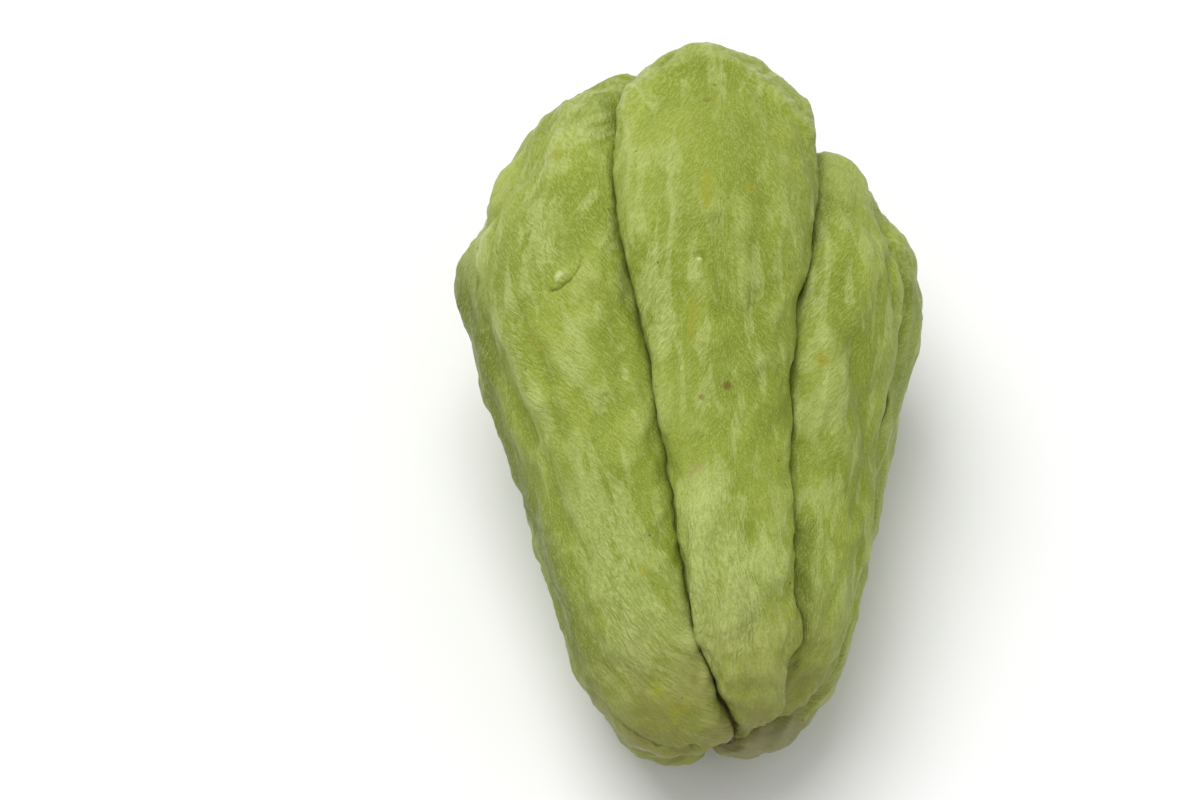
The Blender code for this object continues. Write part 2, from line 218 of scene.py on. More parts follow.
# Where the mesh has to be finer, for the small sharp marks: a line and how far round it.
FINE = (
    (CRESCENT, 0.0022),
    (((0.0015, 0.0088, 0.0730),), 0.0022),
    (KNOB_FOLD, 0.0015),
)
# Coloured patches, each a tint, the line it follows, its width and its strength. Yellow, brown,
# the dry stem end and the whitish callus are the skin's own colours. The rest are painted light:
# highlights where the skin is glossier, and shade in shaded patches and grooves, on the low
# flanks, in valleys, in creases and in the stem pit, with some darker green on the front lobe's
# crown.
STAINS_AND_PAINTED_LIGHT = (
    # Where the skin is glossier: smoother, with painted highlights.
    StainOrPaintedLight("gloss", ((-0.0150, -0.0340, 0.0494), (-0.0085, -0.0572, 0.0412)), 0.0065, 1.3),
    StainOrPaintedLight("gloss", ((0.0018, -0.0330, 0.0552), (0.0045, -0.0570, 0.0429)), 0.0045, 1.4),
    StainOrPaintedLight("gloss", ((0.0085, -0.0330, 0.0550), (0.0090, -0.0420, 0.0520)), 0.0030, 0.9),
    StainOrPaintedLight("gloss", ((0.0270, 0.0100, 0.0620), (0.0260, -0.0050, 0.0580)), 0.0040, 0.3),
    StainOrPaintedLight("gloss", ((-0.0350, 0.0037, 0.0537), (-0.0234, -0.0172, 0.0529)), 0.0050, 0.7),
    StainOrPaintedLight("gloss", ((0.0244, -0.0335, 0.0477), (0.0255, -0.0154, 0.0536)), 0.0035, 0.5),
    StainOrPaintedLight("gloss", ((0.0240, 0.0211, 0.0630), (0.0238, 0.0060, 0.0617)), 0.0035, 0.6),
    StainOrPaintedLight("gloss", ((-0.0260, 0.0390, 0.0620), (-0.0180, 0.0450, 0.0620)), 0.0070, 0.6),
    StainOrPaintedLight("gloss", ((-0.0065, 0.0150, 0.0700), (-0.0050, 0.0000, 0.0650)), 0.0050, 0.7),
    StainOrPaintedLight("gloss", ((-0.0280, 0.0140, 0.0650),), 0.0040, 0.6),
    StainOrPaintedLight("gloss", ((0.0115, -0.0460, 0.0505), (0.0114, -0.0560, 0.0462)), 0.0048, 1.3),
    # Painted shade in shaded patches and along grooves, and a darker green along the front lobe's
    # crown.
    StainOrPaintedLight("deep", (
        (-0.0350, -0.0010, 0.0430), (-0.0310, -0.0140, 0.0420), (-0.0280, -0.0240, 0.0380),
        (-0.0225, -0.0400, 0.0360),
    ), 0.0060, 1.0),
    StainOrPaintedLight("deep", ((0.0380, 0.0050, 0.0480), (0.0400, 0.0200, 0.0440)), 0.0050, 0.6),
    StainOrPaintedLight("deep", (
        (-0.0334, 0.0044, 0.0569), (-0.0311, -0.0023, 0.0556), (-0.0291, -0.0077, 0.0537),
    ), 0.0022, 1.1),
    StainOrPaintedLight("deep", FRONT_RIDGE, 0.0055, 1.0),
    StainOrPaintedLight("deep", ((0.0096, -0.0284, 0.0583), (0.0170, -0.0278, 0.0558)), 0.0040, 0.7),
    StainOrPaintedLight("deep", ((0.0256, -0.0006, 0.0597),), 0.0032, 0.3),
    StainOrPaintedLight("deep", ((0.0261, 0.0301, 0.0620),), 0.0035, 0.7),
    StainOrPaintedLight("deep", (
        (-0.0318, 0.0039, 0.0592), (-0.0278, -0.0034, 0.0587), (-0.0244, -0.0107, 0.0566),
        (-0.0225, -0.0175, 0.0535),
    ), 0.0017, 0.9),
    StainOrPaintedLight("deep", FLANK_GROOVE, 0.0022, 0.9),
    StainOrPaintedLight("deep", ((-0.0200, -0.0330, 0.0450), (-0.0160, -0.0480, 0.0410)), 0.0018, 0.6),
    StainOrPaintedLight("deep", (
        (0.0025, 0.0439, 0.0736), (0.0024, 0.0279, 0.0758), (0.0033, 0.0130, 0.0741),
    ), 0.0050, 0.5),
    StainOrPaintedLight("deep", (
        (0.0053, 0.0158, 0.0750), (0.0059, 0.0099, 0.0736), (0.0064, 0.0010, 0.0700),
    ), 0.0014, 0.9),
    StainOrPaintedLight("deep", SIDE_GROOVE, 0.0020, 0.4),
    # Painted shade on the low flanks and in the valleys beside some furrows.
    StainOrPaintedLight("dusk", ((0.0248, 0.0317, 0.0615), (0.0235, 0.0213, 0.0628)), 0.0020, 0.6),
    StainOrPaintedLight("dusk", ((-0.0230, -0.0356, 0.0424),), 0.0040, 0.6),
    StainOrPaintedLight("dusk", FRONT_RIDGE, 0.0070, 0.16),
    StainOrPaintedLight("dusk", (
        (-0.0434, 0.0186, 0.0440), (-0.0412, 0.0105, 0.0456), (-0.0388, 0.0016, 0.0433),
        (-0.0369, -0.0028, 0.0398), (-0.0338, -0.0103, 0.0356), (-0.0300, -0.0201, 0.0352),
        (-0.0258, -0.0316, 0.0378), (-0.0234, -0.0391, 0.0375), (-0.0212, -0.0462, 0.0350),
        (-0.0181, -0.0535, 0.0337),
    ), 0.0070, 0.95),
    StainOrPaintedLight("dusk", (
        (-0.0340, -0.0050, 0.0240), (-0.0290, -0.0250, 0.0240), (-0.0200, -0.0450, 0.0260),
    ), 0.0110, 0.5),
    StainOrPaintedLight("dusk", ((0.0399, 0.0276, 0.0479), (0.0418, 0.0223, 0.0454)), 0.0036, 0.6),
    StainOrPaintedLight("dusk", (
        (0.0222, -0.0336, 0.0479), (0.0229, -0.0418, 0.0438), (0.0236, -0.0512, 0.0381),
    ), 0.0024, 0.6),
    StainOrPaintedLight("dusk", (
        (-0.0263, -0.0170, 0.0492), (-0.0215, -0.0259, 0.0494), (-0.0177, -0.0375, 0.0471),
        (-0.0159, -0.0478, 0.0430),
    ), 0.0060, 0.22),
    StainOrPaintedLight("yellow", ((-0.0270, 0.0381, 0.0641),), 0.0024, 0.6),
    StainOrPaintedLight("yellow", ((0.0025, 0.0452, 0.0734),), 0.0020, 0.5),
    StainOrPaintedLight("yellow", ((0.0024, 0.0250, 0.0755), (0.0024, 0.0191, 0.0752)), 0.0020, 0.6),
    StainOrPaintedLight("yellow", SHOULDER_DIMPLE, 0.0022, 0.7),
    StainOrPaintedLight("yellow", ((0.0006, 0.0010, 0.0700), (0.0005, -0.0049, 0.0675)), 0.0013, 0.7),
    StainOrPaintedLight("yellow", ((0.0250, -0.0032, 0.0587),), 0.0022, 0.75),
    StainOrPaintedLight("yellow", ((-0.0305, 0.0015, 0.0590), (-0.0278, -0.0034, 0.0587)), 0.0009, 0.7),
    StainOrPaintedLight("yellow", ((0.0005, -0.0659, 0.0364),), 0.0032, 0.62),
    StainOrPaintedLight("yellow", ((-0.0031, -0.0636, 0.0382),), 0.0028, 0.55),
    StainOrPaintedLight("yellow", ((-0.0067, -0.0441, 0.0482),), 0.0018, 0.6),
    StainOrPaintedLight("brown", ((-0.0298, 0.0086, 0.0632),), 0.0010, 0.8),
    StainOrPaintedLight("brown", ((0.0020, -0.0281, 0.0579),), 0.0028, 0.55),
    StainOrPaintedLight("brown", ((0.0020, -0.0250, 0.0590),), 0.0012, 0.4),
    StainOrPaintedLight("dry", ((0.0130, -0.0640, 0.0170), (0.0200, -0.0600, 0.0150)), 0.0080, 1.0),
    StainOrPaintedLight("dry", (
        (-0.0160, -0.0600, 0.0230), (-0.0060, -0.0690, 0.0220), (0.0060, -0.0660, 0.0210),
    ), 0.0050, 1.0),
    StainOrPaintedLight("pale", SCAR_LIP, 0.0008, 1.0),
    StainOrPaintedLight("pale", PIMPLE, 0.0007, 0.9),
    StainOrPaintedLight("pale", KNOB_RIB, 0.0014, 0.6),
    # Painted shade in the creases and at the bottom of the stem pit.
    StainOrPaintedLight("crease", (
        (-0.0160, -0.0593, 0.0291), (-0.0086, -0.0669, 0.0296), (0.0004, -0.0698, 0.0281),
        (0.0040, -0.0686, 0.0284),
    ), 0.0007, 0.6),
    StainOrPaintedLight("crease", CRESCENT, 0.0003, 0.62),
    StainOrPaintedLight("crease", KNOB_FOLD, 0.0005, 0.5),
    StainOrPaintedLight("crease", PIMPLE_PIT, 0.0004, 0.6),
    StainOrPaintedLight("crease", (
        (0.0090, -0.0640, 0.0240), (0.0092, -0.0632, 0.0209), (0.0095, -0.0626, 0.0181),
    ), 0.0032, 1.4),
)
# Small round flecks: place, radius, and how dark they are.
FLECKS = (
    ((0.0073, -0.0134, 0.0638), 0.0008, 0.65),
    ((0.0027, -0.0154, 0.0628), 0.0006, 0.5),
    ((0.0363, 0.0298, 0.0543), 0.0007, 0.6),
    ((-0.0333, 0.0355, 0.0593), 0.0005, 0.7),
    ((-0.0347, 0.0343, 0.0581), 0.0005, 0.6),
    ((0.0019, 0.0457, 0.0734), 0.0007, 0.4),
    ((0.0034, 0.0500, 0.0722), 0.0004, 0.6),
    ((-0.0062, -0.0133, 0.0587), 0.0004, 1.0),
    ((-0.0040, -0.0231, 0.0563), 0.0004, 1.0),
)


# ---------------------------------------------------------------- working as by hand


def only(obj):
    """Selects this object and no other, and makes it the active one."""
    bpy.ops.object.select_all(action="DESELECT")
    obj.select_set(True)
    bpy.context.view_layer.objects.active = obj


def finish_with(obj, kind, **settings):
    """Gives the object a modifier with these settings, and applies it."""
    only(obj)
    modifier = obj.modifiers.new(kind.title(), kind)
    for name, value in settings.items():
        setattr(modifier, name, value)
    bpy.ops.object.modifier_apply(modifier=modifier.name)


def points_of(obj, kind="co"):
    """Where the object's points are, or their normals, one to a row."""
    flat = np.empty(len(obj.data.vertices) * 3, np.float32)
    obj.data.vertices.foreach_get(kind, flat)
    return flat.reshape(-1, 3).astype(float)


def paint(obj, name, weights):
    """A vertex group that holds these weights."""
    group = obj.vertex_groups.new(name=name)
    for i in np.flatnonzero(weights > FAINT):
        group.add([int(i)], float(weights[i]), "REPLACE")


def store(obj, name, values):
    """A number for each point, which the material reads."""
    attribute = obj.data.attributes.new(name, "FLOAT", "POINT")
    attribute.data.foreach_set("value", np.asarray(values, np.float32))


def drawn_on(skin, line):
    """A line laid onto the skin, with points close together."""
    spots = [Vector(line[0])]
    for start, end in zip(line, line[1:]):
        steps = max(1, round((Vector(end) - Vector(start)).length / LINE_STEP))
        spots += [Vector(start).lerp(Vector(end), i / steps) for i in range(1, steps + 1)]
    return [skin.closest_point_on_mesh(spot)[1] for spot in spots]


def distance_to(line, points):
    """How far each point is from a line."""
    line = np.array(line, float)
    nearest = np.linalg.norm(points - line[0], axis=1)
    for start, end in zip(line, line[1:]):
        run = end - start
        share = np.clip((points - start) @ run / (run @ run), 0, 1)
        gaps = np.linalg.norm(points - start - share[:, None] * run, axis=1)
        nearest = np.minimum(nearest, gaps)
    return nearest


def hump(distances, width):
    """1 on a line, and less and less to each side of it."""
    return np.exp(-((distances / width) ** 2))


def soft(low, high, values):
    """0 below low, 1 above high, and a soft step between."""
    share = np.clip((values - low) / (high - low), 0, 1)
    return share * share * (3 - 2 * share)


# ---------------------------------------------------------------- finishes


class Wire:
    """What comes out of a node. Sums on it add Math nodes to its finish."""

    def __init__(self, finish, socket):
        self.finish, self.socket = finish, socket

    def _math(self, operation, *terms, clamp=False):
        settings = {"operation": operation, "use_clamp": clamp}
        return self.finish.node("ShaderNodeMath", settings, dict(enumerate(terms)))

    def __add__(self, other):
        return self._math("ADD", self, other)

    def __radd__(self, other):
        return self._math("ADD", other, self)

    def __sub__(self, other):
        return self._math("SUBTRACT", self, other)

    def __rsub__(self, other):
        return self._math("SUBTRACT", other, self)

    def __mul__(self, other):
        return self._math("MULTIPLY", self, other)

    def __rmul__(self, other):
        return self._math("MULTIPLY", other, self)

    def __abs__(self):
        return self._math("ABSOLUTE", self)

    def at_least(self, other):
        return self._math("MAXIMUM", self, other)

    def clamped(self):
        return self._math("ADD", self, 0.0, clamp=True)


class Finish:
    """A material, and the nodes that make it."""

    def __init__(self, name):
        self.material = bpy.data.materials.new(name)
        self.material.use_nodes = True
        self.tree = self.material.node_tree
        self.shader = self.tree.nodes["Principled BSDF"]

    def node(self, kind, settings=None, sockets=None, out=0):
        """Adds a node, sets it, then fills or wires its sockets. Gives one of its outputs."""
        node = self.tree.nodes.new(kind)
        for name, value in (settings or {}).items():
            setattr(node, name, value)
        for name, value in (sockets or {}).items():
            self.feed(node.inputs[name], value)
        return Wire(self, node.outputs[out])

    def feed(self, socket, value):
        if isinstance(value, Wire):
            self.tree.links.new(value.socket, socket)
        else:
            socket.default_value = value

    def read(self, name):
        """A number stored on the mesh."""
        return self.node("ShaderNodeAttribute", {"attribute_name": name}, out="Fac")

    def step(self, wire, low, high):
        """0 below low, 1 above high, and a soft step between. With low above high it falls."""
        sockets = {"Value": wire, "From Min": low, "From Max": high}
        return self.node("ShaderNodeMapRange", {"interpolation_type": "SMOOTHSTEP"}, sockets)

    def blend(self, share, start, end):
        """A colour between two others."""
        sockets = {0: share, 6: start, 7: end}
        return self.node("ShaderNodeMix", {"data_type": "RGBA"}, sockets, out=2)

    def coat(self, colour, layers):
        """A colour under these layers, each a share and a colour, the lowest first."""
        for share, layer in layers:
            colour = self.blend(share, colour, layer[:])
        return colour

    def bump(self, height):
        """The normals of a surface raised by this many metres."""
        sockets = {"Strength": 1.0, "Distance": 1.0, "Height": height}
        return self.node("ShaderNodeBump", {}, sockets, out="Normal")

    def grain(self, chart, size, turn=0.0, detail=2.0, place=(0.0, 0.0, 0.0), warp=0.0):
        """Soft noise from 0 to 1, whose spots have this size along the chart's turned axes."""
        sockets = {"Vector": chart, "Location": place, "Rotation": (0, 0, turn), "Scale": size}
        turned = self.node("ShaderNodeMapping", {"vector_type": "TEXTURE"}, sockets)
        sockets = {"Vector": turned, "Scale": 1.0, "Detail": detail, "Distortion": warp}
        return self.node("ShaderNodeTexNoise", {}, sockets, out="Fac")

    def finish(self, **sockets):
        """Fills the shader's own sockets, named with _ for each space."""
        for name, value in sockets.items():
            self.feed(self.shader.inputs[name.replace("_", " ")], value)
        return self.material


def skin_finish(looks):
    """Green skin: wrinkles that fan out from each ridge, streaks, coloured patches and flecks,
    with painted shade and highlights.
    """
    f = Finish("chayote_skin")
    place = f.node("ShaderNodeTexCoord", out="Object")
    chart = f.node("ShaderNodeUVMap", {"uv_map": CHART})
    across = f.node("ShaderNodeSeparateXYZ", {}, {0: chart}, out="X")
    along = f.node("ShaderNodeSeparateXYZ", {}, {0: chart}, out="Y")
    relief, furrow, gloss_and_highlight_share = f.read("relief"), f.read("furrow"), f.read("gloss")
    stem_end = f.step(along, -0.030, -0.060)

    # Wrinkles lean outwards from each ridge, most at the blossom end and least at the stem end.
    lean = f.step(along, -0.045, 0.010) * (f.step(across, -0.005, 0.005) * 2 - 1)
    upright = 1 - abs(lean)

    def wrinkles(size, warp):
        straight = f.grain(chart, size, warp=warp)
        left = f.grain(chart, size, -looks.lean, warp=warp)
        right = f.grain(chart, size, looks.lean, warp=warp)
        return straight * upright + left * (-1 * lean).at_least(0) + right * lean.at_least(0)

    hairs = wrinkles(HAIRS, 0.4)
    pores = f.grain(chart, PORES, detail=1.0)
    # The wider wrinkles are flat plates with a narrow crease between them.
    plates = f.step(abs(wrinkles(FOLDS, 0.6) - 0.5), 0.0, 0.16)
    patches = f.grain(place, PATCHES, detail=1.0)
    streaks = f.grain(chart, STREAKS, detail=3.0, place=(0.3, 0.1, 0.0), warp=0.5)
    # Where the skin is glossier it is smoother, and painted highlights lie along its streaks.
    highlight_and_gloss_streaks = f.step(streaks + gloss_and_highlight_share * 0.18, 0.52, 0.63)
    mottle = f.grain(place, MOTTLE, place=(0.01, 0.0, 0.02))
    edge = f.grain(place, STAIN_EDGES) - 0.5

    colour = f.blend(f.step(patches, 0.35, 0.65), looks.deep[:], looks.green[:])
    colour = f.coat(colour, (
        # Painted shade in the sunken dimples and grooves.
        (f.step(relief, 0.0001, -0.0006) * 0.7, looks.deep),
        # Painted highlights on the glossier streaks and on the raised lumps.
        (highlight_and_gloss_streaks * (plates * 0.5 + 0.5) * 0.66, looks.pale),
        (f.step(relief, 0.0002, 0.0010) * 0.4, looks.pale),
        # Painted shade in the shaded patches and grooves, with darker green on the front lobe's
        # crown, then painted shade on the low flanks and in the valleys beside some furrows.
        ((f.read("deep") * (1.3 - streaks)).clamped(), looks.deep),
        ((f.read("dusk") * (1.5 - streaks)).clamped(), looks.dusk),
        # Painted highlights on the fine wrinkles' crests and painted shade in their troughs, with
        # brighter highlights where the skin is glossier.
        (f.step(hairs, 0.46, 0.66) * 0.32, looks.pale),
        (f.step(hairs, 0.50, 0.32) * 0.40, looks.deep),
        (f.step(hairs, 0.50, 0.62) * highlight_and_gloss_streaks * gloss_and_highlight_share.clamped() * 0.22, looks.callus_and_highlight),
        (f.step(pores, 0.50, 0.72) * 0.30, looks.pale),
        (f.step(pores, 0.50, 0.28) * 0.35, looks.deep),
        (stem_end * (f.step(mottle, 0.62, 0.40) * 0.30 + 0.60), looks.tip),
    ))

    # The skin's own stains and callus, and painted shade in the creases and at the bottom of the
    # stem pit.
    stains_and_crease_shade = {"dry": looks.dry, "yellow": looks.yellow, "brown": looks.brown,
              "pale": looks.callus_and_highlight, "crease": looks.shade}
    for tint, shade in stains_and_crease_shade.items():
        stained_or_shaded = f.step(f.read(tint) + edge * 0.7, 0.25, 0.9)
        colour = f.blend(stained_or_shaded, colour, shade[:])
    for spot, radius, strength in FLECKS:
        ends = {0: place, 1: spot}
        gap = f.node("ShaderNodeVectorMath", {"operation": "DISTANCE"}, ends, out="Value")
        fleck = f.step(gap + edge * radius, 1.5 * radius, 0.5 * radius)
        colour = f.blend(fleck * strength, colour, looks.fleck[:])
    dots = {"Vector": place, "Scale": 1 / DOT_GAP, "Randomness": 1.0}
    dot = f.node("ShaderNodeTexVoronoi", {}, dots, out="Distance")
    # Painted shade along each furrow: a dark line on its bottom, a darker band to each side, and
    # wider shade in the valleys at the stem end. The tiny dots are the skin's own flecks.
    line = f.step(furrow + edge * 0.0005, 0.0007, 0.0001)
    colour = f.coat(colour, (
        (f.step(dot, 0.06, 0.03) * 0.6, looks.fleck),
        (f.step(furrow, 0.0022, 0.0003) * 0.35, looks.deep),
        (f.step(furrow, 0.0034, 0.0004) * stem_end * 0.45, looks.shade),
        (line * 0.9, looks.shade),
    ))

    height = (hairs + pores * 0.6) * (1 - gloss_and_highlight_share * 0.45) * looks.hair_height
    height = height + plates * (0.25 + gloss_and_highlight_share * 0.60) * looks.fold_height
    return f.finish(
        Base_Color=colour, Roughness=looks.roughness - highlight_and_gloss_streaks * 0.14 + line * 0.3,
        Normal=f.bump(height), Specular_IOR_Level=0.4, IOR=1.22,
        Subsurface_Weight=0.12, Subsurface_Radius=(1.0, 1.0, 0.35), Subsurface_Scale=0.0015,
        Sheen_Weight=looks.sheen, Sheen_Roughness=0.35, Sheen_Tint=(0.93, 0.96, 0.88, 1.0),
    )


def scar_finish(looks):
    """Dry, corky brown, with darker fibres."""
    f = Finish("dry_scar")
    fibres = f.grain(f.node("ShaderNodeTexCoord", out="Object"), FIBRES, detail=3.0)
    colour = f.blend(f.step(fibres, 0.35, 0.65), looks.dark[:], looks.cork[:])
    normal = f.bump(fibres * 0.0003)
    return f.finish(Base_Color=colour, Roughness=0.85 - fibres * 0.1, Normal=normal)


def plain_finish(name, colour, roughness):
    return Finish(name).finish(Base_Color=colour, Roughness=roughness, Specular_IOR_Level=0.2)


# ---------------------------------------------------------------- the skin's mesh


def pits_of(made):
    """The centres of the stem pit and the blossom pit, where all the rows of faces meet."""
    poles = sorted(made.verts, key=lambda v: len(v.link_edges))[-2:]
    return sorted((v.co.copy() for v in poles), key=lambda spot: spot.y)


def tree_of(spots):
    """A tree that finds the nearest of these spots."""
    tree = KDTree(len(spots))
    for i, spot in enumerate(spots):
        tree.insert(spot, i)
    tree.balance()
    return tree


def seam_furrows(skin):
    """Makes a seam of each edge that the skin folds inwards along."""
    made = bmesh.new()
    made.from_mesh(skin.data)
    for edge in made.edges:
        edge.seam = edge.calc_face_angle_signed(0.0) < -FOLD
    made.to_mesh(skin.data)
    made.free()


def number_lobes(skin):
    """Numbers each face by its lobe: faces with no seam between them are one lobe."""
    made = bmesh.new()
    made.from_mesh(skin.data)
    number = made.faces.layers.int.new("lobe")
    pits = pits_of(made)
    middle = {face: face.calc_center_median() for face in made.faces}
    left = {face for face in middle if min((middle[face] - pit).length for pit in pits) > PIT}
    patches = []
    while left:
        ahead = [left.pop()]
        patch = set(ahead)
        while ahead:
            for edge in ahead.pop().edges:
                if not edge.seam:
                    new = left.intersection(edge.link_faces)
                    left -= new
                    patch |= new
                    ahead += new
        patches.append(patch)
    patches = sorted(patches, key=len)[-LOBES:]
    placed = [(middle[face], lobe) for lobe, patch in enumerate(patches, 1) for face in patch]
    tree = tree_of([spot for spot, _ in placed])
    for face in made.faces:
        face[number] = placed[tree.find(middle[face])[1]][1]
    made.to_mesh(skin.data)
    made.free()


def chart_lobes(skin):
    """Gives the skin its lobe chart, and stores how far each point is from a furrow."""
    made = bmesh.new()
    made.from_mesh(skin.data)
    number = made.faces.layers.int["lobe"]
    chart = made.loops.layers.uv.get(CHART) or made.loops.layers.uv.new(CHART)
    stem, blossom = pits_of(made)
    middle = (stem + blossom) / 2

    def turn(spot):
        return atan2(spot.x - middle.x, spot.z - middle.z)

    borders, lobes = {}, {}
    for edge in made.edges:
        sides = {face[number] for face in edge.link_faces}
        if len(sides) == 2:
            for lobe in sides:
                (other,) = sides - {lobe}
                borders.setdefault(lobe, {}).setdefault(other, []).append(edge.verts[0].co)
    for face in made.faces:
        lobes.setdefault(face[number], []).append(face)

    nearest = np.full(len(made.verts), np.inf)
    for lobe, faces in lobes.items():
        sides = []
        ridge = turn(sum((face.calc_center_median() for face in faces), Vector()) / len(faces))
        for spots in borders[lobe].values():
            off = turn(sum(spots, Vector()) / len(spots)) - ridge
            sides.append(((off + pi) % (2 * pi) - pi, len(spots), tree_of(spots)))
        sides = sorted(sorted(sides, key=lambda side: -side[1])[:2], key=lambda side: side[0])
        for face in faces:
            for loop in face.loops:
                spot = loop.vert.co
                left, right = (side[2].find(spot)[2] for side in sides)
                nearest[loop.vert.index] = min(nearest[loop.vert.index], left, right)
                u = hypot(left, right) / 2 * (2 * atan2(left, right) - pi / 2)
                v = ((spot - stem).length - (spot - blossom).length) / 2
                loop[chart].uv = (u, v)
    made.to_mesh(skin.data)
    made.free()
    store(skin, "furrow", nearest)
    return nearest


def displace(skin, name, stretch, height, group, direction="NORMAL", **settings):
    """Raises and lowers the skin by a cloudy pattern, whose clouds are this long along X, Y, Z."""
    bpy.ops.object.empty_add()
    ruler = bpy.context.object
    ruler.scale = stretch
    bpy.context.view_layer.update()
    pattern = bpy.data.textures.new(name, "CLOUDS")
    pattern.noise_scale = 1.0
    for key, value in settings.items():
        setattr(pattern, key, value)
    finish_with(skin, "DISPLACE", texture=pattern, texture_coords="OBJECT", direction=direction,
                texture_coords_object=ruler, strength=height, mid_level=0.5, vertex_group=group)
    bpy.data.objects.remove(ruler)


def refine(skin):
    """Gives the mesh smaller faces where the skin has small sharp marks."""
    points = points_of(skin)
    near = np.zeros(len(points), bool)
    for line, reach in FINE:
        near |= distance_to(drawn_on(skin, line), points) < reach
    only(skin)
    bpy.ops.object.mode_set(mode="EDIT")
    bpy.ops.mesh.select_mode(type="FACE")
    bpy.ops.mesh.select_all(action="DESELECT")
    bpy.ops.object.mode_set(mode="OBJECT")
    for face in skin.data.polygons:
        face.select = all(near[i] for i in face.vertices)
    bpy.ops.object.mode_set(mode="EDIT")
    bpy.ops.mesh.subdivide(number_cuts=FINE_CUTS)
    bpy.ops.object.mode_set(mode="OBJECT")


def away_from_pit(points):
    """0 in the stem pit, where the skin stays as it is, and 1 well away from it."""
    return soft(*PIT_EDGE, np.linalg.norm(points - np.array(STEM_PIT), axis=1))


def swing(skin, line, start, whole, distance):
    """Moves the skin near a line across, from none at one place on Y to all of it at another."""
    points = points_of(skin)
    near = hump(distance_to(line, points), SWING_WIDTH)
    paint(skin, "swung", near * soft(start, whole, points[:, 1]))
    finish_with(skin, "DISPLACE", direction="X", strength=distance, mid_level=0.0,
                vertex_group="swung")
    skin.vertex_groups.remove(skin.vertex_groups["swung"])


def mark(skin, points, lines):
    """Raises the skin's knobs and ribs, and sinks its creases and grooves."""
    for name, sign in (("raised", 1), ("sunken", -1)):
        tallest = max(sign * one.height for one in MARKS)
        weights = np.zeros(len(points))
        for one in MARKS:
            if sign * one.height > 0:
                near = hump(distance_to(lines[one.name], points), one.width)
                weights = np.maximum(weights, near * sign * one.height / tallest)
        paint(skin, name, weights * away_from_pit(points))
        finish_with(skin, "DISPLACE", strength=sign * tallest, mid_level=0.0, vertex_group=name)


def store_tints(skin, points, lines):
    """Stores how strong each tint is at each point, which the material reads: the skin's own
    colours, and painted shade and highlights.
    """
    for tint in sorted({one.tint for one in STAINS_AND_PAINTED_LIGHT}):
        strength = np.zeros(len(points))
        for one, line in zip(STAINS_AND_PAINTED_LIGHT, lines):
            if one.tint == tint:
                near = hump(distance_to(line, points), one.width)
                strength = np.maximum(strength, near * one.strength)
        store(skin, tint, strength)


def bare_skin():
    """A smooth copy of the solid's mesh, with its lobes numbered."""
    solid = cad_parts[NODE]
    skin = bpy.data.objects.new("fruit_skin", solid.data.copy())
    bpy.context.scene.collection.objects.link(skin)
    skin.data.materials.clear()
    only(skin)
    bpy.ops.object.mode_set(mode="EDIT")
    bpy.ops.mesh.select_all(action="SELECT")
    bpy.ops.mesh.remove_doubles(threshold=SAME)
    bpy.ops.mesh.customdata_custom_splitnormals_clear()
    bpy.ops.object.mode_set(mode="OBJECT")
    seam_furrows(skin)
    bpy.ops.object.mode_set(mode="EDIT")
    bpy.ops.mesh.select_all(action="SELECT")
    bpy.ops.mesh.tris_convert_to_quads(face_threshold=pi, shape_threshold=pi, seam=True)
    bpy.ops.object.mode_set(mode="OBJECT")
    number_lobes(skin)
    finish_with(skin, "SUBSURF", levels=2, render_levels=2)
    return skin


def make_skin(sizes):
    """The skin: its furrows swung into place, then its waves, lumps, marks, coloured patches,
    painted shade and highlights, and finish.
    """
    skin = bare_skin()
    # A line, where on Y its swing starts and where it is whole, and how far it goes.
    for line, start, whole, distance in (
        (STEM_SWING, 0.006, -0.014, sizes.middle_swing),
        (STEM_SWING, -0.022, -0.062, sizes.stem_swing),
        (CROWN_SWING, -0.004, 0.010, -sizes.crown_swing),
        (END_SWING, 0.035, 0.058, -sizes.crown_swing),
    ):
        swing(skin, line, start, whole, distance)
    refine(skin)
    furrow = chart_lobes(skin)
    wavy = hump(furrow, FURROW_WIDTH) * soft(*WAVY, points_of(skin)[:, 2])
    paint(skin, "furrow_edges", wavy)
    displace(skin, "furrow_waves", WAVES, sizes.furrow_waves, "furrow_edges", direction="X",
             noise_depth=1)

    points = points_of(skin)
    mark_lines = {one.name: drawn_on(skin, one.line) for one in MARKS}
    tint_lines = [drawn_on(skin, one.line) for one in STAINS_AND_PAINTED_LIGHT]
    loose = soft(*LOOSE, furrow) * soft(*LIFTED, points[:, 2]) * away_from_pit(points)
    paint(skin, "loose_skin", loose)
    displace(skin, "lumps", LUMPS, sizes.lump_height, "loose_skin", noise_depth=1)
    displace(skin, "dimples", DIMPLES, sizes.dimple_height, "loose_skin", noise_depth=2)
    displace(skin, "hollows", HOLLOWS, -sizes.hollow_depth, "loose_skin", noise_depth=1,
             noise_type="HARD_NOISE")
    mark(skin, points, mark_lines)
    moved = points_of(skin) - points
    outwards = (moved * points_of(skin, "normal")).sum(axis=1)
    store(skin, "relief", np.linalg.norm(moved, axis=1) * np.sign(outwards))
    store_tints(skin, points, tint_lines)
    skin.data.materials.append(skin_finish(sizes))
    skin.data.shade_smooth()
    return skin


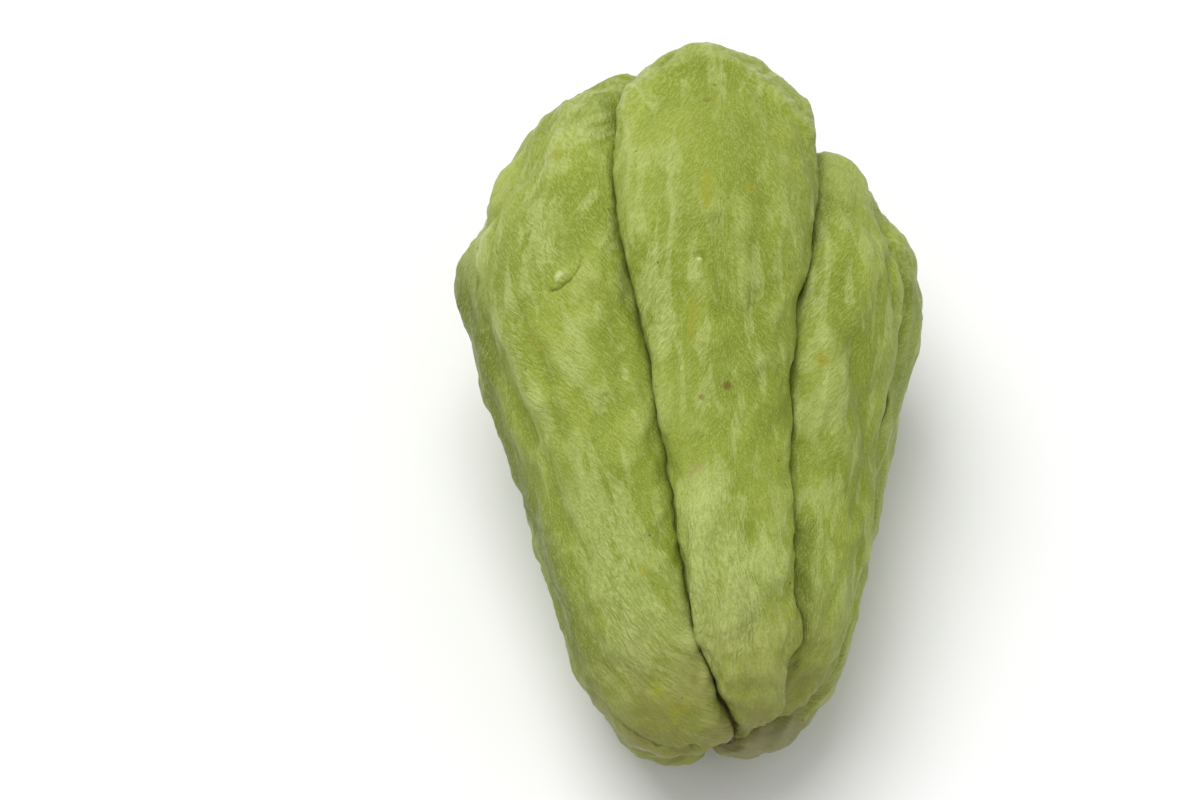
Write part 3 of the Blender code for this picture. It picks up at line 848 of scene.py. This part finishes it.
def make_scar(name, pit, width, outwards, finish):
    """A dry, lumpy plug that sits at the bottom of a pit."""
    bpy.ops.object.select_all(action="DESELECT")
    bpy.ops.mesh.primitive_uv_sphere_add(segments=24, ring_count=12, radius=width / 2)
    scar = bpy.context.object
    scar.name = name
    bpy.ops.object.mode_set(mode="EDIT")
    bpy.ops.mesh.select_all(action="SELECT")
    bpy.ops.transform.resize(value=(1, 0.5, 1), center_override=(0, 0, 0))
    bpy.ops.transform.translate(value=pit + Vector((0, outwards * width * 0.05, 0)))
    bpy.ops.object.mode_set(mode="OBJECT")
    finish_with(scar, "SUBSURF", levels=2, render_levels=2)
    displace(scar, name + "_lumps", SCAR_LUMPS, width * 0.15, "", noise_depth=2)
    scar.data.materials.append(finish)
    scar.data.shade_smooth()
    return scar


# ---------------------------------------------------------------- settings


def length(name, description, default):
    return FloatProperty(
        name=name, description=description, default=default, unit="LENGTH", precision=5
    )


def angle(name, description, degrees):
    return FloatProperty(
        name=name, description=description, default=radians(degrees), subtype="ANGLE"
    )


def fraction(name, description, default):
    return FloatProperty(
        name=name, description=description, default=default, min=0, max=1, subtype="FACTOR"
    )


def swatch(name, description, default):
    return FloatVectorProperty(
        name=name, description=description, default=(*default, 1.0), size=4, subtype="COLOR",
        min=0, max=1,
    )


class ChayoteSkinSettings(bpy.types.PropertyGroup):
    lump_height: length("Lumps", "Height of the broad lumps", 0.0022)
    dimple_height: length("Dimples", "Height of the small lumps and dimples", 0.0013)
    hollow_depth: length("Hollows", "Depth of the creased hollows", 0.0010)
    furrow_waves: length("Furrow waves", "How far the furrows wander from side to side", 0.0016)
    middle_swing: length("Swing", "How far the front furrow swings below its middle", 0.0011)
    stem_swing: length("Swing on", "How much further it swings at the stem end", 0.0023)
    crown_swing: length("Swing back", "How far it swings back at the blossom end", 0.0009)
    hair_height: length("Fine wrinkles", "Depth of the hair-like wrinkles", 0.00026)
    fold_height: length("Folds", "Depth of the wider wrinkles", 0.00015)
    lean: angle("Lean", "How far the wrinkles lean out from each ridge", 48)
    roughness: fraction("Roughness", "How dull the skin is", 0.44)
    sheen: fraction("Down", "How much the skin's fine down lightens its edges", 0.02)
    green: swatch("Green", "The skin's main colour", (0.290, 0.350, 0.047))
    # Deep green is the skin's own darker tone in its patches and pores. It is also painted shade:
    # in sunken dimples and grooves, in shaded patches, in the fine wrinkles' troughs and in a band
    # beside each furrow.
    deep: swatch("Deep green", "Dimples and shaded patches", (0.205, 0.262, 0.024))
    # Pale green is mostly painted highlight: on the glossier streaks, on the raised lumps and on
    # the fine wrinkles' crests. The pores' lighter grain is the skin's own.
    pale: swatch("Pale green", "Lumps, streaks and the wrinkles' crests", (0.450, 0.515, 0.175))
    yellow: swatch("Yellow", "Riper patches", (0.320, 0.310, 0.028))
    brown: swatch("Brown", "Bruised patches", (0.330, 0.270, 0.120))
    # Whitish callus is the skin's own colour on the scar's lip, the pimple and a rib. The same
    # colour is painted as highlights on the crests of the glossier wrinkles.
    callus_and_highlight: swatch("Bloom", "Whitish callus on scars and ribs", (0.520, 0.580, 0.260))
    fleck: swatch("Flecks", "Small dark flecks", (0.140, 0.060, 0.020))
    # The furrow colour is painted shade: a dark line along each furrow's bottom, the shade in the
    # furrows' valleys at the stem end, and dark lines in the creases and at the bottom of the stem
    # pit.
    shade: swatch("Furrows", "The line along the bottom of each furrow", (0.105, 0.100, 0.018))
    # Painted shade on the low flanks and in the valleys beside some furrows, and a faint darker
    # green along the front lobe's crown.
    dusk: swatch("Dark green", "The low flanks", (0.118, 0.148, 0.016))
    dry: swatch("Dry green", "The dull skin under the stem pit", (0.245, 0.240, 0.112))
    tip: swatch("Stem end", "The lobes' tips round the stem pit", (0.215, 0.207, 0.060))


class ChayoteScarSettings(bpy.types.PropertyGroup):
    stem_width: length("Stem scar", "Width of the scar in the stem pit", 0.0040)
    blossom_width: length("Blossom scar", "Width of the dry flower's remains", 0.0030)
    cork: swatch("Cork", "The scar's main colour", (0.105, 0.078, 0.036))
    dark: swatch("Fibres", "Between the fibres", (0.036, 0.026, 0.012))


class ChayoteStudioSettings(bpy.types.PropertyGroup):
    floor_size: length("Floor", "Side of the floor", 6.0)
    floor_colour: swatch("Floor colour", "A plain pale floor", (0.87, 0.87, 0.87))
    distance: length("Camera distance", "From the camera to the fruit's centre", 0.75)
    elevation: angle("Elevation", "How far the camera looks down", 56)
    lens: FloatProperty(
        name="Lens", description="The camera's focal length", default=118.4, unit="CAMERA"
    )
    aside: length("Aside", "How far left of the fruit's centre the camera aims", 0.0165)
    daylight: FloatProperty(
        name="Daylight", description="Strength of the light all round", default=0.60, min=0
    )
    key: FloatProperty(
        name="Key light", description="Power of the large soft light", default=27.5, unit="POWER"
    )


# ---------------------------------------------------------------- operators


class OBJECT_OT_chayote_skin(bpy.types.Operator):
    """Builds the skin with its lumps, wrinkles, marks and colours"""

    bl_idname = "object.chayote_skin"
    bl_label = "Skin"

    def execute(self, context):
        skin = make_skin(context.scene.chayote_skin)
        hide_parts(NODE)
        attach(skin, "root")
        return {"FINISHED"}


class OBJECT_OT_chayote_scars(bpy.types.Operator):
    """Builds the dry scars in the stem pit and the blossom pit"""

    bl_idname = "object.chayote_scars"
    bl_label = "Scars"

    def execute(self, context):
        sizes = context.scene.chayote_scars
        finish = scar_finish(sizes)
        for scar in (
            make_scar("stem_scar", STEM_PIT, sizes.stem_width, -1, finish),
            make_scar("blossom_scar", BLOSSOM_PIT, sizes.blossom_width, 1, finish),
        ):
            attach(scar, "root")
        return {"FINISHED"}


class OBJECT_OT_chayote_stage(bpy.types.Operator):
    """Builds the floor, the soft lights and the camera"""

    bl_idname = "object.chayote_stage"
    bl_label = "Studio"

    def execute(self, context):
        studio = context.scene.chayote_studio
        bpy.ops.object.select_all(action="DESELECT")
        bpy.ops.mesh.primitive_plane_add(size=studio.floor_size)
        floor = context.object
        floor.name = "floor"
        floor.data.materials.append(plain_finish("pale_floor", studio.floor_colour[:], 0.9))

        world = bpy.data.worlds.new("daylight")
        world.use_nodes = True
        sky = world.node_tree.nodes["Background"]
        sky.inputs["Color"].default_value = (1.0, 1.0, 1.0, 1.0)
        sky.inputs["Strength"].default_value = studio.daylight
        context.scene.world = world

        for place, size, power in LAMPS:
            bpy.ops.object.light_add(type="AREA", location=place)
            lamp = context.object
            lamp.data.size = size
            lamp.data.energy = studio.key * power
            lamp.rotation_euler = (-Vector(place)).to_track_quat("-Z", "Y").to_euler()

        low, high = CAD_BOX
        centre = (Vector(low) + Vector(high)) / 2
        away = Vector((0, -cos(studio.elevation), sin(studio.elevation))) * studio.distance
        aim = Vector((-studio.aside, 0, 0)) - away
        turn = aim.to_track_quat("-Z", "Y").to_euler()
        bpy.ops.object.camera_add(location=centre + away, rotation=turn)
        camera = context.object
        camera.data.lens = studio.lens
        camera.data.sensor_width = SENSOR
        camera.data.clip_start = 0.01
        context.scene.camera = camera
        context.scene.view_settings.view_transform = "Standard"
        return {"FINISHED"}


class VIEW3D_PT_chayote(bpy.types.Panel):
    """Lists the fruit's pieces and their settings"""

    bl_label = "Chayote squash"
    bl_space_type = "VIEW_3D"
    bl_region_type = "UI"
    bl_category = "Chayote"

    def draw(self, context):
        for operator, group in STEPS:
            box = self.layout.box()
            box.operator(operator.bl_idname)
            settings = getattr(context.scene, group)
            for name in settings.bl_rna.properties.keys():
                if name not in ("rna_type", "name"):
                    box.prop(settings, name)


SETTINGS = {
    "chayote_skin": ChayoteSkinSettings,
    "chayote_scars": ChayoteScarSettings,
    "chayote_studio": ChayoteStudioSettings,
}
STEPS = (
    (OBJECT_OT_chayote_stage, "chayote_studio"),
    (OBJECT_OT_chayote_skin, "chayote_skin"),
    (OBJECT_OT_chayote_scars, "chayote_scars"),
)


def register():
    for name, group in SETTINGS.items():
        bpy.utils.register_class(group)
        setattr(bpy.types.Scene, name, PointerProperty(type=group))
    for operator, _ in STEPS:
        bpy.utils.register_class(operator)
    bpy.utils.register_class(VIEW3D_PT_chayote)


def unregister():
    bpy.utils.unregister_class(VIEW3D_PT_chayote)
    for operator, _ in STEPS:
        bpy.utils.unregister_class(operator)
    for name, group in SETTINGS.items():
        delattr(bpy.types.Scene, name)
        bpy.utils.unregister_class(group)


def main():
    register()
    bpy.ops.object.chayote_stage()
    bpy.ops.object.chayote_skin()
    bpy.ops.object.chayote_scars()


if __name__ == "__main__":
    main()
